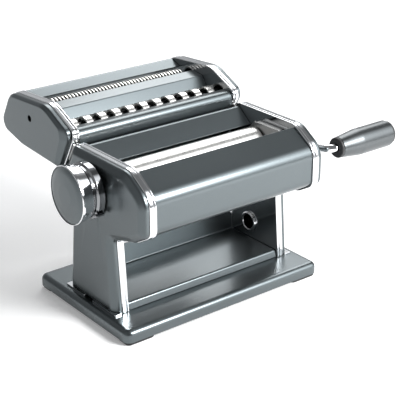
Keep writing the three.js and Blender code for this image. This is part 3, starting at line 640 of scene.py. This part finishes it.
PANEL_HALF = PLATE_X - CLEAR
FRONT_PANEL = [(-37.5, 144.3), (-62.1, 129.3, 11), (-61.7, 99.6, 8), (-45.6, 90.1, 12), (-38, 87.9)]
HOPPER_PANEL = [(19.8, 131.7), (37.4, 145.3, 3), (50.2, 124.8, 5), (47.2, 100)]
for name, node, path in (("front_panel", "front_cover", FRONT_PANEL),
                         ("hopper_panel", "rear_cover", HOPPER_PANEL)):
    piece(name, folded(path, PANEL_HALF), "frame", PAINT, [node],
          wall=SHEET, middle=True, edge=0.3)
for place, path in (("front", [(-5.2, 108.4), (-13, 96, 2), (-13, 90)]),
                    ("rear", [(39, 95), (43.5, 86.5, 2), (43.5, 81)])):
    piece(f"{place}_scraper", folded(path, PANEL_HALF), "frame", STEEL,
          [f"scraper_{place}"], wall=SHEET, middle=True, edge=0.2)
piece("clamp_eyelet", clamp_ring(), "frame", CHROME, ["clamp_socket"])


# ---- sheet rollers ------------------------------------------------------------------------
FIN_X = (75.5, 76.7)
FIN_TOP = 139.3
TONGUE_Z = (138.1, 139.2)


def roller(left, right, socket):
    """A sheet roller's outline: journal, barrel, journal, and the crank's socket where it has one."""
    end, r, journal = ROLLER_HALF, ROLLER_R, JOURNAL_R
    tail = [(SOCKET_R, right, 0.3), (SOCKET_R, SOCKET_X), (0, SOCKET_X)] if socket else [(0, right)]
    return [(0, left), (journal, left, 0.5), (journal, -end), (r, -end, 0.7), (r, end, 0.7),
            (journal, end), (journal, right, 0.5), *tail]


def dough_guide(side):
    """A thin fin at the roller's end, with a bore for the journal's sleeve."""
    outline = rounded([(-27, 126, 3), (-10, 110, 6), (12, 110, 6), (14, 132, 2), (7, FIN_TOP, 1.5),
                       (-27, FIN_TOP, 1.5)])
    hole = ring(FRONT_AXIS, JOURNAL_R + 0.6)
    shape = Shape()
    for loop in (outline, hole):
        shape.grid(np.stack([at_x(side * x, loop) for x in FIN_X]), wrap=True)
    for x in FIN_X:
        shape.flat(at_x(side * x, outline), at_x(side * x, hole))
    return shape


def fin_flange(side):
    """The guide's top: a tongue with a rounded rear corner that reaches out to the end plate."""
    front, rear, inner, outer = -24, 5, side * 76.8, side * (PLATE_X - 0.4)
    plan = rounded([(inner, front, 0.3), (inner, rear, 4), (outer, rear, 0.6), (outer, front, 0.6)])
    rings = stacked([plan, plan], TONGUE_Z)
    return Shape().grid(rings, wrap=True).flat(rings[0]).flat(rings[-1])


for place, axis, profile in (("front", FRONT_AXIS, roller(-88.4, 93, False)),
                             ("rear", REAR_AXIS, roller(-86, 95, True))):
    piece(f"smooth_roller_{place}", turned(profile, axis, 128), f"{place}_roller", ROLLER,
          [f"{place}_roller"])
for name, side in SIDES:
    piece(f"hopper_fin_{name}", dough_guide(side), "bearing_carriage", STEEL,
          [f"dough_guide_{name}"], edge=0.25)
    piece(f"hopper_tongue_{name}", fin_flange(side), "bearing_carriage", CAST, edge=0.25)


# ---- thickness knob -----------------------------------------------------------------------
PEG_AT = np.array([-20.6, -14.4])


def on_left(profile):
    """A turned outline, with its lengths measured out to the left."""
    return [(p[0], -p[1], *p[2:]) for p in profile]


def knob_cap():
    """A shallow dome over a flat disc."""
    dome = [(0, 122.6), (9, 122.4, 20), (19, 121.4, 20), (23.9, 119.9, 0.8)]
    return turned(on_left([*dome, (23.9, 119.4, 0.2), (0, 119.4)]), KNOB_AXIS, 128)


def knob_skirt():
    """A cup that widens to a thin lip round the cap, with a bore for the stem."""
    outside = [(KNOB_BORE, 108.4), (22.3, 108.4, 0.6), (23.4, 109.6, 1.2), (24.9, 118.2, 1.5)]
    lip = [(25.0, 120.0, 0.5), (24.6, 120.5, 0.2), (24.2, 120.5, 0.2), (24.2, 119.1, 0.2)]
    inside = [(12, 119.1), (12, 110), (KNOB_BORE, 110)]
    return turned(on_left([*outside, *lip, *inside, outside[0]]), KNOB_AXIS, 128)


def index_collar():
    """A stepped ring on the cover, with the peg that stops the knob."""
    inner, wide, narrow = 17, 23.8, 22.2
    collar = turned(on_left([
        (inner, 98.9), (wide, 98.9, 0.4), (wide, 104.6, 0.4), (narrow, 105.8, 0.4), (narrow, 108.0, 0.3),
        (inner, 108.0), (inner, 98.9)]), KNOB_AXIS, 128)
    peg = turned(on_left([(0, 99.5), (1.6, 99.5), (1.6, 108, 0.5), (0, 108)]), KNOB_AXIS + PEG_AT, 24)
    return collar.keep(peg.points[0], peg.faces)


piece("knob_face", knob_cap(), "knob", PAINT, ["knob_cap"])
piece("knob_shell", knob_skirt(), "knob", CHROME, ["knob_skirt"])
# The collar uses the chrome with painted shade, a painted dark reflection.
piece("dial_collar", index_collar(), "frame", SHADED_CHROME, ["index_collar"])


# ---- crank --------------------------------------------------------------------------------
ROD_R = 3.5
GRIP_BORE = 3.9
WASHER_X = GRIP_X + 2.2
GRIP_START = GRIP_X + 2.5
GRIP_END = GRIP_X + GRIP_LENGTH - 3


def crank_tube():
    """A round rod whose middle line lies in one plane, along the throw from the socket to the grip
    and along x. A point is line + r (cos a * normal in the plane + sin a * the plane's normal)."""
    throw = GRIP_AXIS - REAR_AXIS
    reach = float(np.linalg.norm(throw))
    corners = [(80, 0), (99.8, 0, 11), (GRIP_X - 5, reach, 9), (GRIP_X + GRIP_LENGTH - 4, reach)]
    line = rounded(corners, closed=False, steps=14, support=0.5)
    tangent = unit(np.gradient(line, axis=0))
    normal = np.column_stack([-tangent[:, 1], tangent[:, 0]])
    a = np.linspace(0, 2 * math.pi, 40, endpoint=False)
    in_plane = line[:, None] + ROD_R * np.cos(a)[:, None] * normal[:, None]
    away = np.broadcast_to(ROD_R * np.sin(a), in_plane.shape[:2])
    u = throw / reach
    v = np.array([-u[1], u[0]])
    points = at_x(in_plane[..., 0], REAR_AXIS + in_plane[..., 1:] * u + away[..., None] * v)
    return Shape().grid(points, wrap=True).flat(points[0]).flat(points[-1])


def grip_washer():
    """A flat collar with a small step."""
    rim = [(8.6, GRIP_X, 0.8), (9.1, GRIP_X + 0.9, 0.6), (9.1, WASHER_X, 0.3)]
    return turned([(GRIP_BORE, GRIP_X), *rim, (GRIP_BORE, WASHER_X), (GRIP_BORE, GRIP_X)], GRIP_AXIS)


def grip_tube():
    """A tube that swells from its neck to its full width at a third of its length."""
    shoulder_x = GRIP_X + 24.6
    outside = [(9.2, GRIP_START, 0.5), (GRIP_R, shoulder_x, 14), (GRIP_R, GRIP_END - 0.8, 0.5),
               (GRIP_R - 0.7, GRIP_END, 0.3)]
    bore = [(GRIP_BORE, GRIP_END), (GRIP_BORE, GRIP_START)]
    return turned([bore[-1], *outside, *bore], GRIP_AXIS, 128)


def grip_cap():
    """A low rounded cap on the grip's end."""
    start, end = GRIP_END + CLEAR, GRIP_END + 3
    return turned([(0, start), (11.1, start, 0.3), (10.6, end, 1.8), (0, end)], GRIP_AXIS)


piece("crank_arm", crank_tube(), "crank", CHROME, ["crank_rod"])
piece("grip_washer", grip_washer(), "crank", PLASTIC, ["grip_collar"])
piece("grip_tube", grip_tube(), "grip", ANODISED, ["grip_sleeve"])
piece("grip_cap", grip_cap(), "crank", PLASTIC, ["grip_end_cap"])


# ---- cutter head --------------------------------------------------------------------------
CUTTER_COVER_PATH = [(RIM_X + CLEAR, 0.8), (COVER_X - 2.4, 0.8, 2.5), (COVER_X, 3.2, 2.5),
                     (COVER_X, 4.8)]
CUTTER_SCREW_AT = (103.8, 153)
LOWER = CUTTER_DIR * CUTTER_SPREAD
CUTTER_CORE_R = 5.5
CUTTER_JOURNAL_R = 4
DRUM_X = 78
DRIVEN_END = [(5.5, DRUM_X, 0.2), (5.5, 95, 0.4), (SOCKET_R, 95, 0.3), (SOCKET_R, SOCKET_X),
              (0, SOCKET_X)]
PLAIN_END = [(CUTTER_JOURNAL_R, DRUM_X), (CUTTER_JOURNAL_R, 93, 0.4), (0, 93)]


def cutter_cover_corners(d):
    """Cutter side corners moved towards the face's own corners, and on inwards past them."""
    bevel = 3.0
    share = min(d / bevel, 1.0)
    mixed = rows(CUTTER_SIDE) * (1 - share) + rows(CUTTER_FACE) * share
    return inset(mixed, d - bevel) if d > bevel else mixed


def cutter_plate_holes():
    """A bush hole for each upper cutter roller and a journal hole for each lower one."""
    return [ring(at, r, 32) for axis in (WIDE_AXIS, FINE_AXIS)
            for at, r in ((axis, 5.8), (axis + LOWER, 4.35))]


def cutter_cover_holes(side):
    """The screw's hole and, on the right, the two holes for the crank."""
    drives = [ring(WIDE_AXIS, 6.6), ring(FINE_AXIS, 6.6)] if side > 0 else []
    return [ring(CUTTER_SCREW_AT, 3.0, 32), *drives]


def ringed(axis, count, pitch, room, width, outer, right_end):
    """A cutter roller: a plain core with a number of square rings at an even pitch. Each ring starts
    its room along x, and the row of rooms is centred."""
    core, journal, edge = CUTTER_CORE_R, CUTTER_JOURNAL_R, min(0.35, 0.2 * width)
    start = pitch * np.arange(count) - ((count - 1) * pitch + room) / 2
    rings = [corner for s in start for corner in (
        (core, s, 0.0), (outer, s, edge), (outer, s + width, edge), (core, s + width, 0.0))]
    left_end = [(0, -92), (journal, -92, 0.4), (journal, -DRUM_X), (core, -DRUM_X, 0.3)]
    return turned([*left_end, *rings, (core, DRUM_X, 0.3), *right_end], axis, 72)


for name, side in SIDES:
    plate, _ = pressed(side, RIM_PATH, lambda d: inset(CUTTER_SIDE, min(d, 4.5)), cutter_plate_holes())
    piece(f"cutter_end_plate_{name}", plate, "cutter_head", CHROME,
          [f"cutter_plate_{name}"], wall=SHEET)
    cover, _ = pressed(side, CUTTER_COVER_PATH, cutter_cover_corners, cutter_cover_holes(side))
    piece(f"cutter_cover_{name}", cover, "cutter_head", PAINT,
          [f"cutter_end_cover_{name}"], wall=SHEET)

NOSE = [(59.5, 154.0), (46.4, 155.4, 8), (45.8, 142, 4), (62.8, 121.5)]
RIDGE = [(104.2, 161.9), (90.2, 160.2, 1.5), (84, 151.4)]
BACK = [(125.6, 160.9), (138.6, 166.4, 3), (154.2, 139.8, 8), (149.8, 131.2)]
for name, node, path in (("nose", "front_rail", NOSE), ("bridge", "ridge", RIDGE),
                         ("back", "rear_wall", BACK)):
    piece(f"cutter_{name}", folded(path, PANEL_HALF), "cutter_head", PAINT,
          [f"cutter_{node}"], wall=SHEET, middle=True, edge=0.3)
for name, path in (("wide", [(70.5, 134.8), (72, 127, 2), (66.8, 121.6)]),
                   ("fine", [(116.5, 140.6), (117, 131, 2), (108, 124.5)])):
    piece(f"{name}_comb_sheet", folded(path, PANEL_HALF), "cutter_head", STEEL,
          [f"cutter_{name}_comb"], wall=SHEET, middle=True, edge=0.2)

for name, axis, count, *sizes in (("wide", WIDE_AXIS, 11, WIDE_PITCH, 7.0, 7.0, 9.9),
                                  ("fine", FINE_AXIS, 44, FINE_PITCH, 1.6, 1.55, 9.7)):
    for level, at, number, right_end in (("upper", axis, count, DRIVEN_END),
                                         ("lower", axis + LOWER, count - 1, PLAIN_END)):
        # Each cutter roller's metal has painted shade in the grooves between its rings.
        metal = turned_metal(f"{name}_{level}_metal", (0.74, 0.73, 0.71), (0.92, 0.91, 0.88), 0.18,
                             painted_shade_axis=at)
        piece(f"{name}_strand_{level}", ringed(at, number, *sizes, right_end),
              f"{name}_{level}", metal, [f"{name}_cutter_{level}"])


# ---- studio -------------------------------------------------------------------------------
def floor():
    """A pale studio floor, wide enough to fill every view."""
    mesh = bpy.data.meshes.new("studio_floor")
    r = 6.0
    mesh.from_pydata([(-r, -r, 0), (r, -r, 0), (r, r, 0), (-r, r, 0)], [], [(0, 1, 2, 3)])
    f = Finish("floor_paper")
    fibre = f.noise(30, detail=3.0)
    pale = f.blend((0.86, 0.86, 0.86), (0.89, 0.89, 0.89), fibre)
    mesh.materials.append(f.done(Base_Color=pale, Roughness=0.9, Emission_Color=(1, 1, 1, 1),
                                 Emission_Strength=0.22))
    thing = bpy.data.objects.new("studio_floor", mesh)
    bpy.context.scene.collection.objects.link(thing)


def softbox(name, place, aim, size, power):
    """A square light at a place in metres, turned to face another place, with its power in watts."""
    light = bpy.data.lights.new(name, "AREA")
    light.size = size
    light.energy = power
    thing = bpy.data.objects.new(name, light)
    thing.location = place
    thing.rotation_euler = (Vector(aim) - Vector(place)).to_track_quat("-Z", "Y").to_euler()
    bpy.context.scene.collection.objects.link(thing)


def glow(f, toward, inner, outer):
    """A soft round light in the sky: 1 within the inner angle of a direction, 0 past the outer one."""
    direction = f.node("ShaderNodeTexCoord").outputs["Generated"]
    aim = Vector(toward).normalized()
    facing = f.node("ShaderNodeVectorMath", {"operation": "DOT_PRODUCT"}, {0: direction, 1: tuple(aim)})
    edges = {"From Min": math.cos(math.radians(outer)), "From Max": math.cos(math.radians(inner))}
    soft = f.node("ShaderNodeMapRange", {"interpolation_type": "SMOOTHSTEP"},
                  {"Value": facing.outputs["Value"], **edges})
    return Level(f, soft.outputs[0])


def sky():
    """A dim room with soft lights: bright at the front right, dim high at the back right, low at the
    left and low at the back."""
    world = bpy.data.worlds.new("studio")
    f = Finish("studio", world)
    room = 0.18
    level = room + glow(f, (0.58, -0.64, 0.50), 16, 34) * 2.6
    level = level + glow(f, (0.52, 0.50, 0.68), 10, 30) * 0.5
    level = level + glow(f, (-0.9, 0.1, 0.35), 12, 40) * 0.25
    level = level + glow(f, (0.1, 0.95, 0.1), 15, 50) * 0.35
    background = f.node("ShaderNodeBackground", {}, {"Color": (0.96, 0.98, 1.0, 1), "Strength": level})
    f.node("ShaderNodeOutputWorld", {}, {"Surface": background.outputs[0]})
    bpy.context.scene.world = world


def studio():
    """The floor, the sky, a light high at the back right and one low at the front."""
    floor()
    sky()
    softbox("top_light", (1.0, 1.0, 1.3), (0.3, 0.6, 0), 1.1, 16)
    softbox("front_light", (0.34, -0.92, 0.66), (0.32, -0.42, 0), 0.4, 20)
    bpy.context.scene.view_settings.view_transform = "Standard"


def camera():
    """A long lens at the front left, above the machine: yaw turns it from +y towards +x, pitch tips
    it down, and roll turns the picture."""
    yaw, pitch, roll = (math.radians(v) for v in (37.57, 23.29, -0.45))
    level = math.cos(pitch)
    forward = Vector((math.sin(yaw) * level, math.cos(yaw) * level, -math.sin(pitch)))
    right = Vector((math.cos(yaw), -math.sin(yaw), 0))
    up = right.cross(forward)
    turned_right = math.cos(roll) * right + math.sin(roll) * up
    turned_up = -math.sin(roll) * right + math.cos(roll) * up
    place = Vector((np.array([-551.5, -728.5, 479.2]) * MM + ORIGIN).tolist())
    data = bpy.data.cameras.new("camera")
    data.lens = 103.7
    data.sensor_width = 36.0
    thing = bpy.data.objects.new("camera", data)
    turn = Matrix((turned_right, turned_up, -forward)).transposed().to_4x4()
    thing.matrix_world = Matrix.Translation(place) @ turn
    bpy.context.scene.collection.objects.link(thing)
    bpy.context.scene.camera = thing


studio()
camera()
